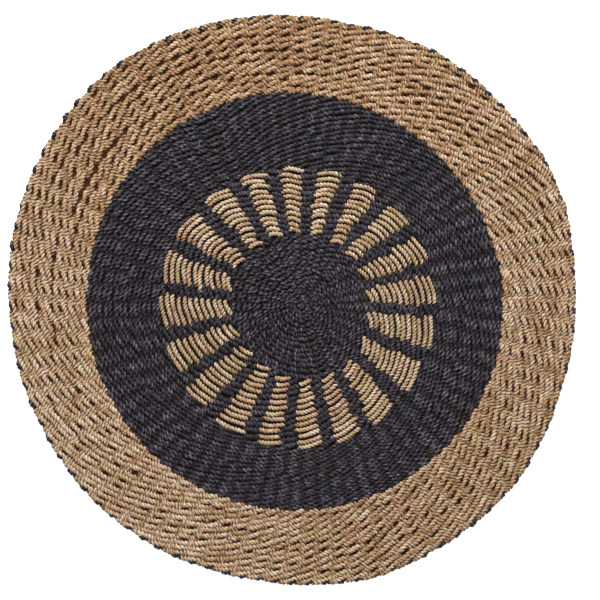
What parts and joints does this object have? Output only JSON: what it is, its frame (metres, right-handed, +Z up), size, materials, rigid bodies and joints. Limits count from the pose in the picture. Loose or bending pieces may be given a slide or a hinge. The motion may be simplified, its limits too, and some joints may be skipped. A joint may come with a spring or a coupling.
{
  "type": "round seagrass rug",
  "caption": "Flat round rug twined from two-ply seagrass cord on dark radial warps, with natural blocks in a ring on black and a natural border.",
  "frame": {"origin": "on the floor, under the middle of the rug's outline box", "axes": "+Z up through the thickness, +X to the right and +Y away as the rug lies seen from above; the weave's centre is about 16 mm to the right of the origin and 12 mm nearer"},
  "size_m": [0.9988, 1.0024, 0.0132],
  "materials": {
    "natural_seagrass": "dull two-ply grass cord, straw to brown, with a faint dry sheen",
    "black_seagrass": "dull two-ply grass cord dyed black, worn to dark grey on its high places",
    "black_warp": "dull dyed grass warp, black with a trace of plum"
  },
  "bodies": {
    "root": {"rug": "natural_seagrass"}
  },
  "joints": []
}
